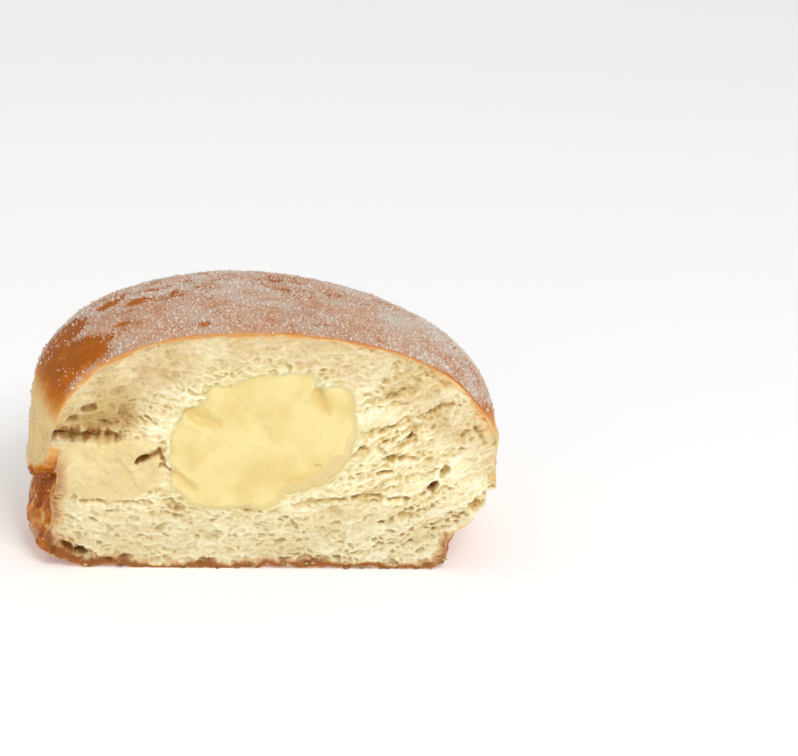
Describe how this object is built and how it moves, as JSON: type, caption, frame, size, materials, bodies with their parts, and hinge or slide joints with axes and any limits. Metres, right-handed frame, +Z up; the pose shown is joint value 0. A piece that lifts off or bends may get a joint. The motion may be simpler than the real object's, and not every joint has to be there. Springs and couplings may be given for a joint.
{
  "type": "custard-filled doughnut",
  "caption": "Round sugared doughnut cut open in front of its middle, showing airy crumb, a custard heart and a filling channel; it stands on its flat base.",
  "frame": {"origin": "middle of the bounding box, at the flat base", "axes": "+Z up; +X along the width of the cut face, to the right as one looks at the cut; the cut face looks along -Y"},
  "size_m": [0.091, 0.0617, 0.0491],
  "materials": {
    "dough": "matte",
    "custard": "gloss"
  },
  "bodies": {
    "root": {"dough": "dough", "custard": "custard"}
  },
  "joints": []
}
